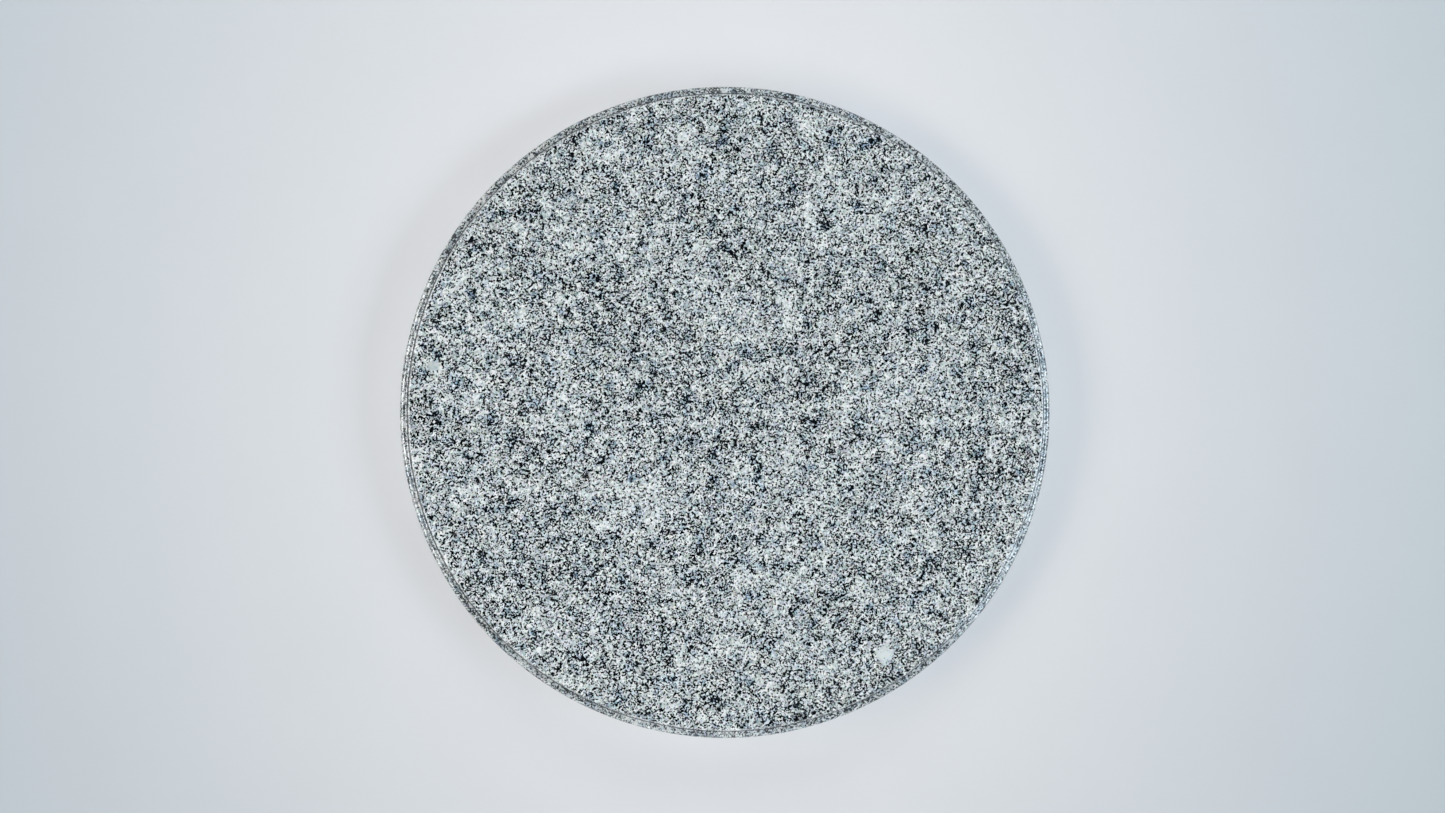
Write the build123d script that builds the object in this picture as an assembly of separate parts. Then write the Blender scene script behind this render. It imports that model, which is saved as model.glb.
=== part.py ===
from build123d import *

import math
import os

# Round polished granite slab for tooling leather, standing on four self-adhesive rubber feet.
#
# The slab is turned about the Z axis. Its rim is an ogee: a rounded corner and a short wall step down from
# the flat working face, a cove sweeps out from the foot of the wall, and a quarter round carries on from the
# cove into the vertical side.
#
# Units are millimetres. +Z is up, and the origin is at the centre of the plane that the feet rest on.

# Driving dimensions of the slab
slab_diameter = 300.0
slab_thickness = 20.0
step_height = 3.05  # from the flat working face down to where the cove meets the quarter round
corner_radius = 1.2  # rounded corner between the working face and the wall of the step
cove_radius = 1.65  # hollow that sweeps out from the foot of the wall
round_over_radius = 2.15  # quarter round from the cove to the vertical side
underside_chamfer = 1.0

# Driving dimensions of one foot and the pad that sticks it to the stone
foot_height = 2.7
foot_top_diameter = 16.0
foot_draft_angle = 12.0  # degrees that the moulded side leans in towards the tread
foot_tread_fillet = 0.6
pad_thickness = 0.3
pad_diameter = 15.0
feet_circle_diameter = 220.0  # circle through the centres of the four feet

# Heights worked out from them
slab_bottom = foot_height + pad_thickness
slab_top = slab_bottom + slab_thickness
slab_radius = slab_diameter / 2

# Each foot's name and its direction from the centre, in degrees from +X
foot_directions = {
    "front_right": -45.0,
    "rear_right": 45.0,
    "rear_left": 135.0,
    "front_left": -135.0,
}


def granite_slab():
    """The stone: half of its section, from the axis out to the rim, turned about Z."""
    ledge_z = slab_top - step_height
    round_start_r = slab_radius - round_over_radius
    wall_r = round_start_r - cove_radius
    face_r = wall_r - corner_radius
    with BuildPart() as slab:
        with BuildSketch(Plane.XZ):
            with BuildLine():
                Polyline(
                    (0, slab_top),
                    (0, slab_bottom),
                    (slab_radius - underside_chamfer, slab_bottom),
                    (slab_radius, slab_bottom + underside_chamfer),
                    (slab_radius, ledge_z - round_over_radius),
                )
                CenterArc((round_start_r, ledge_z - round_over_radius), round_over_radius, 0, 90)
                CenterArc((round_start_r, ledge_z + cove_radius), cove_radius, 180, 90)
                Line((wall_r, ledge_z + cove_radius), (wall_r, slab_top - corner_radius))
                CenterArc((face_r, slab_top - corner_radius), corner_radius, 0, 90)
                Line((face_r, slab_top), (0, slab_top))
            make_face()
        revolve(axis=Axis.Z)
    return slab.part


def rubber_foot():
    """One moulded foot on the Z axis: a short frustum that narrows to a rounded tread at Z = 0."""
    top_r = foot_top_diameter / 2
    tread_r = top_r - foot_height * math.tan(math.radians(foot_draft_angle))
    with BuildPart() as foot:
        with BuildSketch(Plane.XZ):
            Polygon((0, 0), (tread_r, 0), (top_r, foot_height), (0, foot_height), align=None)
        revolve(axis=Axis.Z)
        tread_edge = foot.edges().filter_by(GeomType.CIRCLE).sort_by(Axis.Z)[0]
        fillet(tread_edge, foot_tread_fillet)
    return foot.part


def adhesive_pad():
    """One round pad of double-sided tape, lying on top of a foot on the Z axis."""
    with BuildPart(Plane.XY.offset(foot_height)) as pad:
        Cylinder(
            pad_diameter / 2,
            pad_thickness,
            align=(Align.CENTER, Align.CENTER, Align.MIN),
        )
    return pad.part


def at_foot(shape, direction):
    """Copies a shape from the Z axis out to the feet's circle, in one direction."""
    angle = math.radians(direction)
    r = feet_circle_diameter / 2
    return Pos(r * math.cos(angle), r * math.sin(angle), 0) * shape


def write_parts():
    """Writes one STEP file for each separate piece."""
    os.makedirs("parts", exist_ok=True)
    pieces = {"granite_slab": granite_slab()}
    foot = rubber_foot()
    pad = adhesive_pad()
    for corner, direction in foot_directions.items():
        pieces[f"{corner}_rubber_foot"] = at_foot(foot, direction)
        pieces[f"{corner}_adhesive_pad"] = at_foot(pad, direction)
    for name, shape in pieces.items():
        export_step(shape, os.path.join("parts", f"{name}.step"))


write_parts()
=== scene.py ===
"""Round polished granite slab with an ogee rim, standing on four stick-on rubber feet.

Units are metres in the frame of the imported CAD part: +Z is up, and Z = 0 is the plane the feet rest on.
Materials are procedural and use object coordinates, so the stone's grain runs through it as one volume.
"""

import math
import random

import bpy
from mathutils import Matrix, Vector, noise


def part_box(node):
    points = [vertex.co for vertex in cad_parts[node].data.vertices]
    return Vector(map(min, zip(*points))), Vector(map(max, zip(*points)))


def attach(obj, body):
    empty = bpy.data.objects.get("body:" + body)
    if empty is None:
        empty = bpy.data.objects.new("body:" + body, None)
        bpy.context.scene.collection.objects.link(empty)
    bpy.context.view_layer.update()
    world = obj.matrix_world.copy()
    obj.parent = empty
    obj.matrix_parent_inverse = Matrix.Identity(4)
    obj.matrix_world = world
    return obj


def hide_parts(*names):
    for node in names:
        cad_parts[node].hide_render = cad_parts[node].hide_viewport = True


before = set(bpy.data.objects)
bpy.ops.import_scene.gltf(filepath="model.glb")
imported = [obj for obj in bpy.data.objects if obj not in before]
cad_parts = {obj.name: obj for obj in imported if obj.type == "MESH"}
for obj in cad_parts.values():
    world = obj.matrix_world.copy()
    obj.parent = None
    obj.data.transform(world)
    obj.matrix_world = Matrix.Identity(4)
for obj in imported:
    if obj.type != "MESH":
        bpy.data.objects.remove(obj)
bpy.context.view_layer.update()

MM = 0.001

# Rim of the slab, from the flat working face outwards and down
CORNER_RADIUS = 1.2 * MM
COVE_RADIUS = 1.65 * MM
ROUND_OVER_RADIUS = 2.15 * MM
STEP_HEIGHT = 3.05 * MM
UNDERSIDE_CHAMFER = 1.0 * MM
CHAMFER_EASE = 0.25 * MM

# How finely the pieces are turned
SLAB_SEGMENTS = 1440
FOOT_SEGMENTS = 96

# Rings of the slab's half section, counted from the middle of the working face, or back from the last ring
FACE_RINGS = (0.1, 0.3, 0.5, 0.7, 0.85, 0.94)  # fractions of the radius
FACE_END = 8  # last ring of the flat working face
CORNER_MIDDLE = 12  # halfway round the top corner
CHAMFER_MIDDLE = -11  # halfway down the underside chamfer
UNDER_START = -8  # first ring of the flat underside

# Small chips along the top corner and the underside chamfer
CHIP_COUNT = 70
CHIP_SEED = 11
CHIPS_ON_TOP = 0.3

# Layout of the slab's baked textures, in parts of the picture: two discs, and the rim in rows
FACE_SPOT = (0.378, 0.378)
FACE_SPOT_RADIUS = 0.372
UNDER_SPOT = (0.878, 0.13)
UNDER_SPOT_RADIUS = 0.118
RIM_ROWS = 3
RIM_ROWS_START = 0.775
RIM_ROW_GAP = 0.006
RIM_ROW_MARGIN = 0.01

FEET = ("front_right", "rear_right", "rear_left", "front_left")

# Colours of wear on the stone, and of the painted shade in the cove
HONED = (0.37, 0.41, 0.42)
WORN_CORNER = (0.86, 0.88, 0.87)
COVE_SHADE = (0.012, 0.015, 0.020)
SAWN_DUST = (0.62, 0.63, 0.61)
GROUND_EDGE = (0.66, 0.67, 0.65)

# Lone features in the stone: centre and radius in millimetres, grain level, and shift away from black flakes
LONE_FEATURES = (
    ((72.0, -111.6, 23.0), 5.2, 0.72, 0.42),
    ((72.4, -112.0, 23.0), 2.8, 0.80, 0.10),
    ((-133.8, 21.0, 23.0), 3.2, 0.60, 0.40),
    ((32.5, -140.0, 23.0), 3.4, 0.30, -0.28),
)

# Studio
BACKDROP = (0.575, 0.625, 0.660)
BACKDROP_MIDDLE = (0.30, 0.32, 0.34)
BACKDROP_OVERHEAD = (0.03, 0.033, 0.036)
LAMP_DISTANCE = 3.0


# ---------------------------------------------------------------- node helpers


class Graph:
    """The node tree of one new material, with one call for each node."""

    def __init__(self, name):
        self.material = bpy.data.materials.new(name)
        self.material.use_nodes = True
        self.tree = self.material.node_tree
        self.tree.nodes.clear()

    def node(self, kind, sockets=None, **settings):
        """Adds a node, applies its settings, then sets or links each of its sockets."""
        node = self.tree.nodes.new("ShaderNode" + kind)
        for key, value in settings.items():
            setattr(node, key, value)
        for key, value in (sockets or {}).items():
            if isinstance(value, bpy.types.NodeSocket):
                self.tree.links.new(value, node.inputs[key])
            else:
                node.inputs[key].default_value = value
        return node

    def millimetres(self):
        """Object coordinates in millimetres."""
        return self.scale(self.node("TexCoord").outputs["Object"], 1.0 / MM)

    def math(self, operation, a, b=0.0):
        return self.node("Math", {0: a, 1: b}, operation=operation).outputs[0]

    def vector(self, operation, a, b):
        return self.node("VectorMath", {0: a, 1: b}, operation=operation).outputs[0]

    def scale(self, vector, factor):
        return self.node("VectorMath", {0: vector, "Scale": factor}, operation="SCALE").outputs[0]

    def weigh(self, start, *terms, centred=True):
        """start plus the sum of field times weight; a centred field counts from its middle, 0.5."""
        total = start
        for field, weight in terms:
            sockets = {0: field, 1: weight, 2: -0.5 * weight if centred else 0.0}
            term = self.node("Math", sockets, operation="MULTIPLY_ADD").outputs[0]
            total = self.math("ADD", total, term)
        return total

    def tint(self, colour, warmth, purple):
        """Warms a colour by a fraction, and moves it from green to purple by another."""
        red = self.math("ADD", self.math("ADD", 1.0, warmth), purple)
        green = self.math("SUBTRACT", 1.0, purple)
        blue = self.math("ADD", self.math("SUBTRACT", 1.0, warmth), purple)
        factors = self.node("CombineXYZ", {0: red, 1: green, 2: blue}).outputs[0]
        return self.mix(1.0, colour, factors, blend="MULTIPLY")

    def noise(self, vector, size, detail=2.0, roughness=0.5, output="Fac"):
        """Noise whose largest features are about size millimetres across."""
        sockets = {"Vector": vector, "Scale": 1.0 / size, "Detail": detail, "Roughness": roughness}
        return self.node("TexNoise", sockets, noise_dimensions="3D").outputs[output]

    def cells(self, vector, size, output="Color"):
        """Cells about size millimetres across."""
        sockets = {"Vector": vector, "Scale": 1.0 / size}
        return self.node("TexVoronoi", sockets, voronoi_dimensions="3D").outputs[output]

    def spread(self, value, low, high, to_low=0.0, to_high=1.0, smooth=False):
        """Maps low..high onto to_low..to_high, and holds the ends."""
        sockets = {"Value": value, 1: low, 2: high, 3: to_low, 4: to_high}
        kind = "SMOOTHSTEP" if smooth else "LINEAR"
        return self.node("MapRange", sockets, interpolation_type=kind, clamp=True).outputs[0]

    def ramp(self, value, stops):
        """A colour ramp through (position, colour) stops."""
        node = self.node("ValToRGB", {"Fac": value})
        elements = node.color_ramp.elements
        while len(elements) > 1:
            elements.remove(elements[-1])
        elements[0].position = stops[0][0]
        elements[0].color = (*stops[0][1], 1.0)
        for position, colour in stops[1:]:
            elements.new(position).color = (*colour, 1.0)
        return node.outputs["Color"]

    def mix(self, factor, a, b, blend="MIX"):
        """Mixes two colours, which the Mix node takes in its sockets 6 and 7."""
        sockets = {0: factor, 6: a, 7: b}
        for key in (6, 7):
            if isinstance(sockets[key], tuple) and len(sockets[key]) == 3:
                sockets[key] = (*sockets[key], 1.0)
        return self.node("Mix", sockets, data_type="RGBA", blend_type=blend).outputs[2]

    def blend(self, factor, a, b):
        """Mixes two numbers, which the Mix node takes in its sockets 2 and 3."""
        return self.node("Mix", {0: factor, 2: a, 3: b}, data_type="FLOAT").outputs[0]

    def separate(self, vector):
        node = self.node("SeparateXYZ", {0: vector})
        return node.outputs["X"], node.outputs["Y"], node.outputs["Z"]

    def finish(self, colour, roughness, height=None, height_mm=0.0, **principled):
        """Joins everything to one Principled shader, with the height as bump."""
        sockets = {"Base Color": colour, "Roughness": roughness}
        sockets.update({key.replace("_", " "): value for key, value in principled.items()})
        if height is not None:
            bump = self.node("Bump", {"Height": height, "Distance": height_mm * MM, "Strength": 1.0})
            sockets["Normal"] = bump.outputs["Normal"]
        shader = self.node("BsdfPrincipled", sockets)
        self.node("OutputMaterial", {"Surface": shader.outputs[0]})
        return self.material


# ---------------------------------------------------------------- stone


def granite_minerals(g, p):
    """Colour of the stone at point p in millimetres, and its level: 0 in a black flake, high in feldspar.

    The ground is a mosaic of pale feldspar and grey quartz. Small flakes of black mica are strewn over it.
    Soft clouds make the flakes gather in some places and thin out in others.
    """
    warp = g.vector("SUBTRACT", g.noise(p, 0.9, detail=1.0, output="Color"), (0.5, 0.5, 0.5))
    q = g.vector("ADD", p, g.scale(warp, 0.45))
    flake_pick, flake_tone, flake_hue = g.separate(g.cells(q, 0.62))
    grain_pick, grain_tone, grain_hue = g.separate(g.cells(q, 1.0))
    crystal_pick, crystal_tone, crystal_hue = g.separate(g.cells(q, 2.6))
    cloud = g.noise(p, 8.0, detail=3.0, roughness=0.6)
    drift = g.noise(p, 30.0, detail=2.0, roughness=0.5)
    blotch = g.noise(p, 5.5, detail=2.0, roughness=0.5)

    smudge = g.spread(blotch, 0.28, 0.44, -0.16, 0.0, smooth=True)
    ground = g.weigh(0.672, (grain_pick, 0.44), (crystal_pick, 0.12), (flake_tone, 0.26))
    ground = g.weigh(ground, (cloud, 0.42), (drift, 0.12))
    ground = g.math("ADD", ground, smudge)
    flake = g.weigh(0.0, (flake_pick, 1.0), centred=False)
    flake = g.weigh(flake, (cloud, 0.86), (drift, 0.36), (crystal_tone, 0.22), (grain_tone, 0.22))
    flake = g.math("ADD", flake, smudge)
    ground, flake = lone_features(g, p, ground, flake)

    ground_stops = [
        (0.10, (0.104, 0.125, 0.134)),
        (0.36, (0.292, 0.336, 0.347)),
        (0.56, (0.526, 0.577, 0.578)),
        (0.76, (0.736, 0.785, 0.774)),
        (0.92, (0.915, 0.943, 0.917)),
    ]
    colour = g.ramp(ground, ground_stops)
    mica = g.ramp(flake, [(0.25, (0.002, 0.003, 0.004)), (0.43, (0.024, 0.032, 0.042))])
    cover = g.spread(flake, 0.375, 0.43, 1.0, 0.0)
    colour = g.mix(cover, colour, mica)

    level = g.math("MULTIPLY", ground, g.math("SUBTRACT", 1.0, cover))
    shade = g.spread(cloud, 0.38, 0.60, 1.3, 0.25)
    warmth = g.weigh(0.0, (grain_hue, 0.09), (flake_hue, 0.07), (crystal_hue, 0.02))
    warmth = g.math("ADD", warmth, g.math("MULTIPLY", g.weigh(0.0, (cloud, 0.24), (blotch, 0.24)), shade))
    purple = g.weigh(0.0, (grain_tone, 0.07), (flake_tone, 0.05))
    strong = g.spread(level, 0.05, 0.85, 2.3, 0.45)
    colour = g.tint(colour, g.math("MULTIPLY", warmth, strong), g.math("MULTIPLY", purple, strong))
    return colour, level


def lone_features(g, p, ground, flake):
    """Single crystals and knots: each has its own level, and keeps black flakes away or gathers them."""
    ownness = 0.75  # how far a feature's own level replaces the level of the grains
    ragged = g.noise(p, 3.2, detail=3.0, roughness=0.6)
    for centre, radius, level, shift in LONE_FEATURES:
        distance = g.node("VectorMath", {0: p, 1: centre}, operation="DISTANCE").outputs["Value"]
        distance = g.weigh(distance, (ragged, radius * 1.3))
        near = g.spread(distance, radius * 0.55, radius * 1.05, 1.0, 0.0, smooth=True)
        ground = g.blend(g.math("MULTIPLY", near, ownness), ground, level)
        flake = g.math("ADD", flake, g.math("MULTIPLY", near, shift))
    return ground, flake


def worn_and_shaded_rim(g, p, stone, across, depth):
    """Honed rim, where the grain shows less, with a corner worn pale and painted shade in the cove.

    Depths are in millimetres below the working face: the corner ends at 1.2, the cove at 3.05 and the
    round-over at 5.2. The painted shade lies thick on the upright wall and thin on the ledge, thinnest at
    the right.
    """
    honed = g.math("MULTIPLY", g.spread(depth, 0.01, 0.10), g.spread(depth, 4.20, 5.20, 1.0, 0.0))
    stone = g.mix(g.math("MULTIPLY", honed, 0.10), stone, HONED)
    worn = g.math("MULTIPLY", g.spread(depth, 0.01, 0.06), g.spread(depth, 0.25, 0.75, 1.0, 0.0))
    patchy = g.spread(g.noise(p, 6.0, detail=3.0), 0.30, 0.70, 0.75, 1.0)
    stone = g.mix(g.math("MULTIPLY", g.math("MULTIPLY", worn, patchy), 0.22), stone, WORN_CORNER)
    # Painted shade: the cove and the ledge below it are darkened towards near black, less at the right than
    # at the left.
    ledge_shade = g.spread(across, -150.0, 150.0, 0.26, 0.06)
    cove_shade = g.math("MULTIPLY", g.spread(depth, 0.70, 1.00), g.spread(depth, 2.45, 2.85, 1.0, ledge_shade))
    cove_shade = g.math("MULTIPLY", cove_shade, g.spread(depth, 3.08, 3.24, 1.0, 0.0))
    cove_shade = g.math("MULTIPLY", cove_shade, patchy)
    return g.mix(g.math("MULTIPLY", cove_shade, 0.95), stone, COVE_SHADE)


def granite_material(slab_bottom_mm, slab_top_mm):
    """Polished stone with a worn rim and painted shade in its cove, left as sawn underneath."""
    g = Graph("granite")
    p = g.millimetres()
    stone, level = granite_minerals(g, p)
    across, _, height = g.separate(p)
    depth = g.math("SUBTRACT", slab_top_mm, height)
    stone = worn_and_shaded_rim(g, p, stone, across, depth)

    # Sawn underside: paler, dull and scored by the blade
    facing = g.node("NewGeometry").outputs["True Normal"]
    downward = g.spread(g.separate(facing)[2], -0.9, -0.75, 1.0, 0.0)
    scores = g.noise(g.vector("MULTIPLY", p, (0.0, 1.0, 0.04)), 2.2, detail=2.0, roughness=0.7)
    dust = g.spread(g.noise(p, 14.0, detail=3.0), 0.35, 0.75)
    sawn = g.mix(g.blend(dust, 0.38, 0.62), stone, SAWN_DUST)
    colour = g.mix(downward, stone, sawn)

    # The ground chamfer at the foot of the side is dull as well
    foot = g.spread(height, slab_bottom_mm + 0.9, slab_bottom_mm + 1.3, 1.0, 0.0)
    colour = g.mix(g.math("MULTIPLY", foot, 0.30), colour, GROUND_EDGE)

    # Polish is duller in the black flakes, in smears and round the rim
    mica_pits = g.spread(level, 0.16, 0.34, 1.0, 0.0)
    smear = g.noise(p, 40.0, detail=3.0)
    polish = g.weigh(0.085, (smear, 0.03))
    polish = g.math("ADD", polish, g.math("MULTIPLY", mica_pits, 0.07))
    polish = g.math("ADD", polish, g.spread(depth, 0.02, 0.30, 0.0, 0.07))
    rough = g.blend(g.math("MAXIMUM", downward, foot), polish, 0.72)

    grain_relief = g.math("MULTIPLY", g.math("SUBTRACT", 1.0, mica_pits), 0.12)
    sawn_relief = g.math("ADD", g.math("MULTIPLY", scores, 4.0), g.noise(p, 0.35, detail=2.0))
    relief = g.blend(downward, grain_relief, sawn_relief)
    return g.finish(colour, rough, relief, 0.03, IOR=1.54)


def arc(centre_r, centre_z, radius, start, end, steps):
    """Points on an arc of the section, from one angle to another in degrees, both ends included."""
    points = []
    for i in range(steps + 1):
        angle = math.radians(start + (end - start) * i / steps)
        points.append((centre_r + radius * math.cos(angle), centre_z + radius * math.sin(angle)))
    return points


def slab_section(radius, bottom, top):
    """Half section of the slab, from the middle of the working face round to the middle of the underside."""
    round_start = radius - ROUND_OVER_RADIUS
    wall = round_start - COVE_RADIUS
    flat = wall - CORNER_RADIUS
    ledge = top - STEP_HEIGHT
    chamfer_top = bottom + UNDERSIDE_CHAMFER
    chamfer_in = radius - UNDERSIDE_CHAMFER
    face = [(r * radius, top) for r in FACE_RINGS]
    face += [(flat - 0.6 * MM, top), (flat - 0.1 * MM, top)]
    corner = arc(flat, top - CORNER_RADIUS, CORNER_RADIUS, 90, 0, 9)
    cove = arc(round_start, ledge + COVE_RADIUS, COVE_RADIUS, 180, 270, 10)
    shoulder = arc(round_start, ledge - ROUND_OVER_RADIUS, ROUND_OVER_RADIUS, 90, 0, 12)[1:]
    side_top = ledge - ROUND_OVER_RADIUS
    side = [(radius, side_top - 0.15 * MM)]
    side += [(radius, chamfer_top + (side_top - chamfer_top) * t) for t in (0.75, 0.5, 0.25)]
    side += [(radius, chamfer_top + CHAMFER_EASE + 0.1 * MM), (radius, chamfer_top + CHAMFER_EASE)]
    slope = CHAMFER_EASE * math.sqrt(0.5)
    chamfer = [
        (radius - 0.12 * slope, chamfer_top + 0.35 * slope),
        (radius - slope, chamfer_top - slope),
        (radius - 0.5 * UNDERSIDE_CHAMFER, chamfer_top - 0.5 * UNDERSIDE_CHAMFER),
        (chamfer_in + slope, bottom + slope),
        (chamfer_in - 0.35 * slope, bottom + 0.12 * slope),
        (chamfer_in - CHAMFER_EASE, bottom),
    ]
    under = [(chamfer_in - CHAMFER_EASE - 0.1 * MM, bottom)]
    under += [(r * radius, bottom) for r in reversed(FACE_RINGS)]
    return face + corner + cove + shoulder + side + chamfer + under


def distances_along(section):
    """Distance along the section from its first point to each point."""
    along = [0.0]
    for a, b in zip(section, section[1:]):
        along.append(along[-1] + math.dist(a, b))
    return along


def rim_chips(along):
    """Small chips on the two sharpest corners: each is an angle, a distance along, a reach and a depth."""
    draw = random.Random(CHIP_SEED)
    chips = []
    for _ in range(CHIP_COUNT):
        on_top = draw.random() < CHIPS_ON_TOP
        reach = draw.uniform(0.35, 0.8) if on_top else draw.uniform(0.5, 1.5)
        depth = reach * draw.uniform(0.10, 0.20)
        place = along[CORNER_MIDDLE if on_top else CHAMFER_MIDDLE]
        chips.append((draw.uniform(0, math.tau), place, reach * MM, depth * MM))
    return chips


def chip_depth(chips, angle, r, place):
    """How far the surface is set in by the chips at one point of the slab's skin."""
    inward = 0.0
    for chip_angle, chip_place, reach, depth in chips:
        across = (angle - chip_angle + math.pi) % math.tau - math.pi
        d2 = ((across * r) ** 2 + (place - chip_place) ** 2) / reach**2
        if d2 < 1.0:
            inward = max(inward, depth * (1.0 - d2) ** 1.5)
    return inward


def turned_slab(name, radius, bottom, top):
    """The slab as one closed mesh, with its own layout for the baked textures."""
    section = slab_section(radius, bottom, top)
    along = distances_along(section)
    chips = rim_chips(along)
    rings = len(section)
    count = SLAB_SEGMENTS
    normals = []
    for i in range(rings):
        a = section[max(i - 1, 0)]
        b = section[min(i + 1, rings - 1)]
        length = math.dist(a, b)
        normals.append((-(b[1] - a[1]) / length, (b[0] - a[0]) / length))

    vertices = []
    for j in range(rings):
        r, z = section[j]
        for i in range(count):
            angle = math.tau * i / count
            inward = chip_depth(chips, angle, r, along[j])
            rr = r - inward * normals[j][0]
            zz = z - inward * normals[j][1]
            vertices.append((rr * math.cos(angle), rr * math.sin(angle), zz))
    top_centre = len(vertices)
    vertices.append((0.0, 0.0, top))
    bottom_centre = len(vertices)
    vertices.append((0.0, 0.0, bottom))

    faces = []
    spots = []  # (ring, segment) of each corner of each face, for the texture layout
    for i in range(count):
        n = (i + 1) % count
        faces.append((top_centre, i, n))
        spots.append(((-1, i), (0, i), (0, i + 1)))
    for j in range(rings - 1):
        for i in range(count):
            n = (i + 1) % count
            faces.append((j * count + i, (j + 1) * count + i, (j + 1) * count + n, j * count + n))
            spots.append(((j, i), (j + 1, i), (j + 1, i + 1), (j, i + 1)))
    last = (rings - 1) * count
    for i in range(count):
        n = (i + 1) % count
        faces.append((bottom_centre, last + n, last + i))
        spots.append(((rings, i), (rings - 1, i + 1), (rings - 1, i)))

    mesh = bpy.data.meshes.new(name)
    mesh.from_pydata(vertices, [], faces)
    mesh.polygons.foreach_set("use_smooth", [True] * len(mesh.polygons))
    lay_out_textures(mesh, section, along, spots)
    mesh.update()
    return add_object(name, mesh)


def on_disc(spot, r, angle):
    """Texture place of a point on one of the two flat faces."""
    return spot[0] + r * math.cos(angle), spot[1] + r * math.sin(angle)


def lay_out_textures(mesh, section, along, spots):
    """Gives most of the texture to the working face, rows to the rim and side, a corner to the underside."""
    rings = len(section)
    under_start = rings + UNDER_START
    face_scale = FACE_SPOT_RADIUS / section[FACE_END][0]
    under_scale = UNDER_SPOT_RADIUS / section[under_start][0]
    row_height = (along[under_start] - along[FACE_END]) * face_scale
    per_row = SLAB_SEGMENTS // RIM_ROWS
    layer = mesh.uv_layers.new(name="OFBake")
    loop = 0
    for corners in spots:
        ring_low = min(j for j, _ in corners)
        ring_high = max(j for j, _ in corners)
        row = min(i for _, i in corners) // per_row
        for j, i in corners:
            angle = math.tau * i / SLAB_SEGMENTS
            r = section[j][0] if 0 <= j < rings else 0.0
            if ring_high <= FACE_END:
                uv = on_disc(FACE_SPOT, r * face_scale, angle)
            elif ring_low >= under_start:
                uv = on_disc(UNDER_SPOT, r * under_scale, angle)
            else:
                u = RIM_ROW_MARGIN + (1.0 - 2.0 * RIM_ROW_MARGIN) * (i - row * per_row) / per_row
                v = RIM_ROWS_START + row * (row_height + RIM_ROW_GAP)
                uv = (u, v + (along[j] - along[FACE_END]) * face_scale)
            layer.data[loop].uv = uv
            loop += 1


# ---------------------------------------------------------------- feet


def rubber_material():
    """Soft black rubber with a fine moulded grain and a little stone dust."""
    g = Graph("foot_rubber")
    p = g.millimetres()
    dust = g.spread(g.noise(p, 1.6, detail=3.0, roughness=0.65), 0.55, 0.80)
    shade = g.noise(p, 6.0, detail=2.0)
    colour = g.mix(shade, (0.018, 0.018, 0.020), (0.032, 0.032, 0.034))
    colour = g.mix(g.math("MULTIPLY", dust, 0.16), colour, (0.40, 0.40, 0.38))
    rough = g.weigh(0.62, (dust, 0.10), (shade, 0.10))
    relief = g.noise(p, 0.22, detail=2.0)
    return g.finish(colour, rough, relief, 0.02)


def foam_material():
    """White closed-cell foam tape, with open cells on its cut edge."""
    g = Graph("adhesive_foam")
    p = g.millimetres()
    bubble = g.spread(g.cells(p, 0.16, output="Distance"), 0.0, 0.75)
    age = g.noise(p, 5.0, detail=2.0)
    colour = g.mix(age, (0.78, 0.77, 0.72), (0.84, 0.83, 0.80))
    colour = g.mix(g.math("MULTIPLY", bubble, 0.35), colour, (0.58, 0.57, 0.53))
    return g.finish(colour, g.weigh(0.68, (age, 0.12)), bubble, 0.05)


def turned_piece(name, section, centre):
    """Turns a section of (radius, height) points about a vertical line, on which both its ends lie."""
    cx, cy = centre
    count = FOOT_SEGMENTS
    vertices = []
    for r, z in section[1:-1]:
        for i in range(count):
            angle = math.tau * i / count
            vertices.append((cx + r * math.cos(angle), cy + r * math.sin(angle), z))
    rings = len(section) - 2
    first = len(vertices)
    vertices.append((cx, cy, section[0][1]))
    last = len(vertices)
    vertices.append((cx, cy, section[-1][1]))
    faces = []
    for i in range(count):
        n = (i + 1) % count
        faces.append((first, i, n))
        for j in range(rings - 1):
            faces.append((j * count + i, (j + 1) * count + i, (j + 1) * count + n, j * count + n))
        faces.append((last, (rings - 1) * count + n, (rings - 1) * count + i))
    mesh = bpy.data.meshes.new(name)
    mesh.from_pydata(vertices, [], faces)
    mesh.polygons.foreach_set("use_smooth", [True] * len(mesh.polygons))
    mesh.update()
    return add_object(name, mesh)


def box_axis(low, high):
    """Place and radius of the upright round piece that fills a box."""
    return ((low.x + high.x) / 2, (low.y + high.y) / 2), (high.x - low.x) / 2


def tread_groove(groove_r, bottom):
    """Section of one ring-shaped groove in the tread, from its outer lip to its inner lip."""
    half = 0.35 * MM
    depth = 0.3 * MM
    lip = 0.08 * MM
    ease = 0.04 * MM
    outer = [(groove_r + half + lip, bottom), (groove_r + half, bottom + ease)]
    floor = [(groove_r + half * 0.7, bottom + depth), (groove_r - half * 0.7, bottom + depth)]
    inner = [(groove_r - half, bottom + ease), (groove_r - half - lip, bottom)]
    return outer + floor + inner


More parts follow.
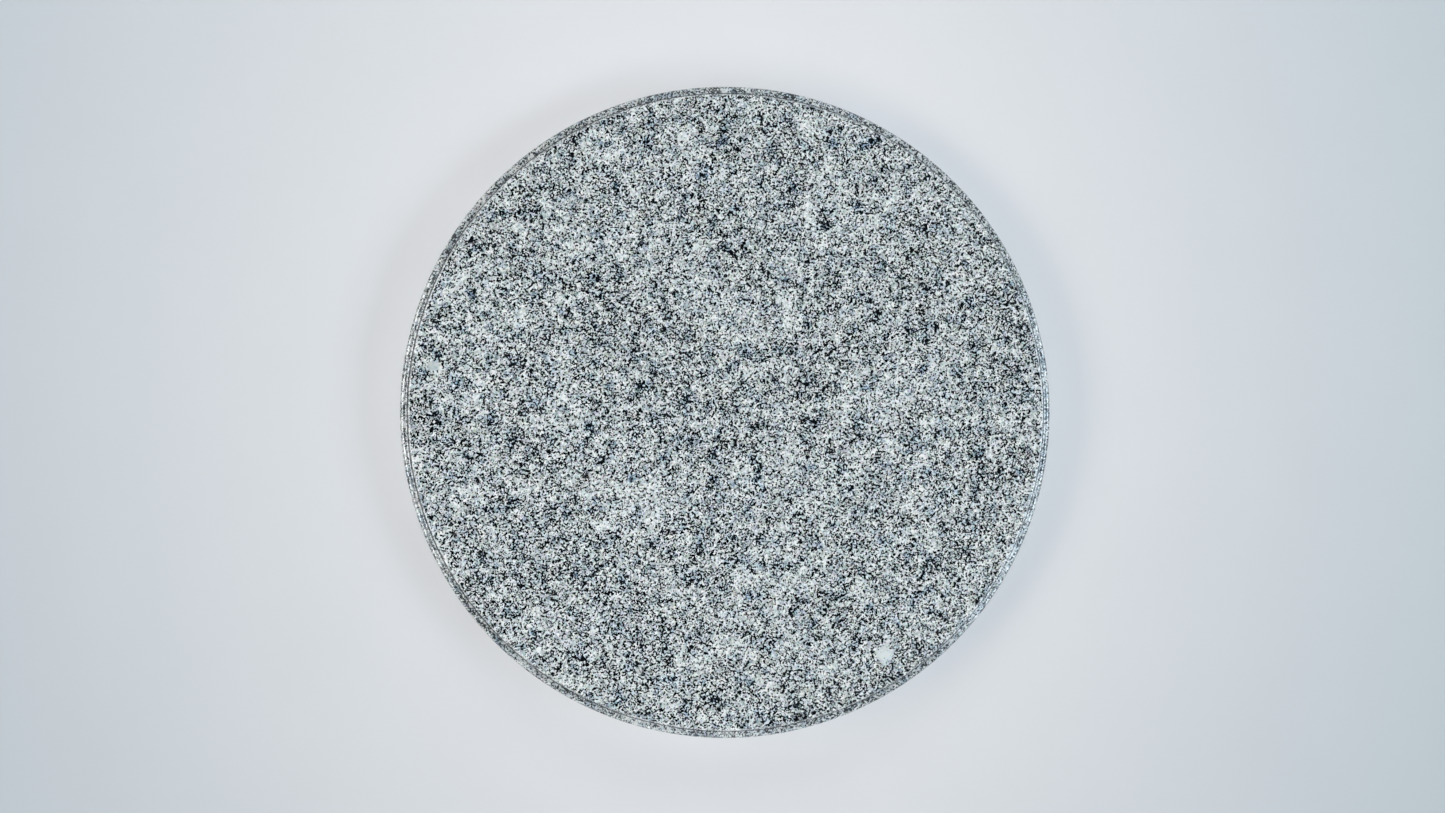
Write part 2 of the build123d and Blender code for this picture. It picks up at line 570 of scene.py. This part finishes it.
def rubber_foot(corner, material):
    """A moulded foot: eased top edge, a parting line, drafted side and a tread with two grooves."""
    node = corner + "_rubber_foot"
    low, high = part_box(node)
    centre, top_r = box_axis(low, high)
    top = high.z
    bottom = low.z
    draft = math.tan(math.radians(12.0))
    ease = 0.15 * MM
    fillet = 0.6 * MM
    parting = top - 0.55 * MM
    step = 0.09 * MM

    def side_r(z):
        return top_r - (top - z) * draft

    section = [(0.0, top), (top_r * 0.5, top), (top_r - ease - 0.05 * MM, top)]
    section += arc(top_r - ease, top - ease, ease, 90, -12, 5)
    section += [(side_r(parting), parting + 0.06 * MM)]
    section += [(side_r(parting) - step, parting), (side_r(parting) - step, parting - 0.08 * MM)]
    section += [(side_r(parting - 0.14 * MM), parting - 0.14 * MM)]
    section += [(side_r(bottom + 0.75 * MM), bottom + 0.75 * MM)]
    section += arc(side_r(bottom + fillet) - fillet, bottom + fillet, fillet, -12, -90, 8)
    for groove_r in (5.0 * MM, 3.2 * MM):
        section += tread_groove(groove_r, bottom)
    section += [(1.3 * MM, bottom), (1.1 * MM, bottom + 0.12 * MM), (0.0, bottom + 0.15 * MM)]
    piece = turned_piece(corner + "_moulded_foot", section, centre)
    return dress(piece, material, node)


def adhesive_pad(corner, material):
    """A disc of foam tape, pressed thinner at its rim, whose cut edge bulges and wavers a little."""
    node = corner + "_adhesive_pad"
    low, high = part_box(node)
    centre, radius = box_axis(low, high)
    middle = (low.z + high.z) / 2
    half = (high.z - low.z) / 2
    pressed = radius - 0.12 * MM
    bulge = 0.08 * MM
    waver = 0.05 * MM
    section = [(0.0, high.z), (radius * 0.6, high.z), (pressed, high.z)]
    for i in range(7):
        angle = math.radians(80 - i * 160 / 6)
        section.append((radius - 0.10 * MM + bulge * math.cos(angle), middle + half * math.sin(angle)))
    section += [(pressed, low.z), (radius * 0.6, low.z), (0.0, low.z)]
    piece = turned_piece(corner + "_foam_pad", section, centre)
    for vertex in piece.data.vertices:
        away = Vector((vertex.co.x - centre[0], vertex.co.y - centre[1], 0.0))
        if away.length > radius * 0.8:
            wobble = noise.noise(vertex.co * 900.0) * waver
            vertex.co += away.normalized() * min(wobble, 0.0)
    return dress(piece, material, node)


# ---------------------------------------------------------------- objects, stage and light


def add_object(name, data):
    obj = bpy.data.objects.new(name, data)
    bpy.context.scene.collection.objects.link(obj)
    return obj


def dress(piece, material, node):
    """Gives a piece its material and ties it to the CAD node that it stands for."""
    piece.data.materials.append(material)
    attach(piece, "root")
    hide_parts(node)
    return piece


def table_material():
    """Matt white table top with painted light falloff, darker away from the middle, which then fades into
    the backdrop.
    """
    g = Graph("pale_table")
    p = g.millimetres()

    # Distance from the middle in units of 300 mm, blunted near the middle and held level far out
    reach = 300.0
    spot = g.node("VectorMath", {0: p, 1: (1 / reach, 0.7 / reach, 0.0), 2: (0.0, 0.0, 0.2)})
    spot.operation = "MULTIPLY_ADD"
    away = g.node("VectorMath", {0: spot.outputs[0]}, operation="LENGTH").outputs["Value"]
    away = g.math("MINIMUM", away, 1.33)

    # Painted light: the rear of the table is a little lighter, and the front darker
    along = g.separate(spot.outputs[0])[1]
    painted_rear_light = g.math("MULTIPLY", along, 0.034)
    painted_rear_light = g.math("ADD", painted_rear_light, g.math("MULTIPLY", g.math("MINIMUM", along, 0.0), 0.05))

    # Painted light falloff: each channel of the table colour drops with distance from the middle
    channels = {}
    for channel, start, painted_falloff in (("Red", 1.185, 0.3435), ("Green", 1.144, 0.2670), ("Blue", 1.124, 0.2308)):
        channels[channel] = g.math("ADD", g.math("SUBTRACT", start, g.math("MULTIPLY", away, painted_falloff)), painted_rear_light)
    near = g.node("CombineColor", channels).outputs[0]
    mottle = g.noise(p, 60.0, detail=4.0, roughness=0.6)
    near = g.mix(1.0, near, g.mix(mottle, (0.785, 0.785, 0.785), (0.815, 0.815, 0.815)), blend="MULTIPLY")
    diffuse = g.node("BsdfDiffuse", {"Color": near, "Roughness": 0.3})
    glow = g.node("Emission", {"Color": (*BACKDROP, 1.0), "Strength": 1.0})
    distance = g.node("VectorMath", {0: p}, operation="LENGTH").outputs["Value"]
    far = g.spread(distance, 400.0, 1000.0, 0.0, 1.0, smooth=True)
    both = g.node("MixShader", {0: far, 1: diffuse.outputs[0], 2: glow.outputs[0]})
    g.node("OutputMaterial", {"Surface": both.outputs[0]})
    return g.material


def table():
    """A large round table top, a hair below the soles of the feet so that the surfaces don't coincide."""
    rings = (0.4, 1.0, 2.5, 8.0)
    count = 64
    level = -0.02 * MM
    vertices = [(0.0, 0.0, level)]
    for r in rings:
        for i in range(count):
            angle = math.tau * i / count
            vertices.append((r * math.cos(angle), r * math.sin(angle), level))
    faces = []
    for i in range(count):
        n = (i + 1) % count
        faces.append((0, 1 + i, 1 + n))
        for j in range(len(rings) - 1):
            a = 1 + j * count
            b = a + count
            faces.append((a + i, b + i, b + n, a + n))
    mesh = bpy.data.meshes.new("table")
    mesh.from_pydata(vertices, [], faces)
    mesh.materials.append(table_material())
    top = add_object("table", mesh)
    return top


def backdrop():
    """A plain pale surround, dark overhead where the camera hangs. It lights matt surfaces only weakly."""
    world = bpy.data.worlds.new("studio")
    bpy.context.scene.world = world
    world.use_nodes = True
    tree = world.node_tree
    tree.nodes.clear()
    coords = tree.nodes.new("ShaderNodeTexCoord")
    split = tree.nodes.new("ShaderNodeSeparateXYZ")
    ramp = tree.nodes.new("ShaderNodeValToRGB")
    path = tree.nodes.new("ShaderNodeLightPath")
    strength = tree.nodes.new("ShaderNodeMapRange")
    shade = tree.nodes.new("ShaderNodeBackground")
    out = tree.nodes.new("ShaderNodeOutputWorld")
    strength.inputs["To Min"].default_value = 1.0
    strength.inputs["To Max"].default_value = 0.35
    tree.links.new(coords.outputs["Generated"], split.inputs[0])
    tree.links.new(split.outputs["Z"], ramp.inputs["Fac"])
    tree.links.new(ramp.outputs["Color"], shade.inputs["Color"])
    tree.links.new(path.outputs["Is Diffuse Ray"], strength.inputs["Value"])
    tree.links.new(strength.outputs["Result"], shade.inputs["Strength"])
    tree.links.new(shade.outputs[0], out.inputs["Surface"])
    ramp.color_ramp.elements[0].position = 0.06
    ramp.color_ramp.elements[0].color = (*BACKDROP, 1.0)
    ramp.color_ramp.elements[1].position = 0.85
    ramp.color_ramp.elements[1].color = (*BACKDROP_OVERHEAD, 1.0)
    ramp.color_ramp.elements.new(0.45).color = (*BACKDROP_MIDDLE, 1.0)


def outward(azimuth, zenith):
    """Unit vector from the object to a lamp: bearing from +X, and angle from straight up, in degrees."""
    a = math.radians(azimuth)
    t = math.radians(zenith)
    return Vector((math.cos(a) * math.sin(t), math.sin(a) * math.sin(t), math.cos(t)))


def soft_box(name, azimuth, zenith, size, strength, colour, diffuse=True, glossy=True):
    """A rectangular soft lamp. Strength 1 lights a white sheet that faces it to full white."""
    width, height = size
    data = bpy.data.lights.new(name, "AREA")
    data.shape = "RECTANGLE"
    data.size = width
    data.size_y = height
    data.energy = strength * (math.pi * LAMP_DISTANCE) ** 2
    data.color = colour
    obj = add_object(name, data)
    toward = outward(azimuth, zenith)
    obj.location = Vector((0.0, 0.0, 0.02)) + toward * LAMP_DISTANCE
    obj.rotation_euler = toward.to_track_quat("Z", "Y").to_euler()
    obj.visible_diffuse = diffuse
    obj.visible_glossy = glossy
    obj.visible_camera = False
    return obj


def key_lamp(name, azimuth, zenith, spread, strength, colour):
    """A distant soft lamp. It is left out of reflections, so that it leaves no hard glint on the stone."""
    data = bpy.data.lights.new(name, "SUN")
    data.angle = math.radians(spread)
    data.energy = strength * math.pi
    data.color = colour
    obj = add_object(name, data)
    obj.rotation_euler = outward(azimuth, zenith).to_track_quat("Z", "Y").to_euler()
    obj.visible_glossy = False
    return obj


def studio_lamps():
    """One lamp overhead, four soft boxes round the slab, and lamps that only show as sheen on the stone."""
    key_lamp("key_lamp", -88.0, 3.5, 9.0, 0.490, (0.928, 1.0, 1.090))
    soft_box("right_box", -19.0, 52.0, (2.0, 0.9), 0.240, (0.850, 1.0, 1.110), glossy=False)
    soft_box("left_box", 187.0, 52.0, (2.2, 0.9), 0.252, (1.130, 1.0, 0.875), glossy=False)
    soft_box("rear_box", 90.0, 57.0, (2.4, 0.9), 0.162, (1.000, 1.0, 1.000), glossy=False)
    soft_box("front_box", -95.0, 45.0, (2.0, 0.9), 0.079, (1.080, 1.0, 0.950), glossy=False)
    soft_box("right_glint", -11.0, 57.0, (2.9, 0.8), 1.35, (0.80, 1.0, 1.20), diffuse=False)
    soft_box("left_glint", 183.0, 57.0, (2.9, 0.9), 1.35, (0.96, 1.0, 1.02), diffuse=False)
    soft_box("front_glint", -88.0, 55.0, (1.4, 2.6), 0.30, (0.95, 1.0, 1.08), diffuse=False)
    soft_box("rear_glint", 92.0, 55.0, (1.6, 2.6), 0.16, (0.95, 1.0, 1.06), diffuse=False)


def camera():
    """Looks almost straight down, tipped a little towards the left side."""
    data = bpy.data.cameras.new("camera")
    data.lens = 50.0
    data.sensor_width = 36.0
    tilt = math.radians(3.7)
    reach = 0.9235
    target = Vector((-0.0027, 0.0027, 0.0190))
    obj = add_object("camera", data)
    obj.location = target + Vector((-math.sin(tilt), 0.0, math.cos(tilt))) * reach
    obj.rotation_euler = (0.0, -tilt, 0.0)
    bpy.context.scene.camera = obj


# ---------------------------------------------------------------- build

slab_low, slab_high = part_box("granite_slab")
slab_radius = (slab_high.x - slab_low.x) / 2
slab = turned_slab("polished_granite_slab", slab_radius, slab_low.z, slab_high.z)
dress(slab, granite_material(slab_low.z / MM, slab_high.z / MM), "granite_slab")

rubber = rubber_material()
foam = foam_material()
for corner_name in FEET:
    rubber_foot(corner_name, rubber)
    adhesive_pad(corner_name, foam)

table()
backdrop()
studio_lamps()
camera()
bpy.context.scene.view_settings.view_transform = "Standard"
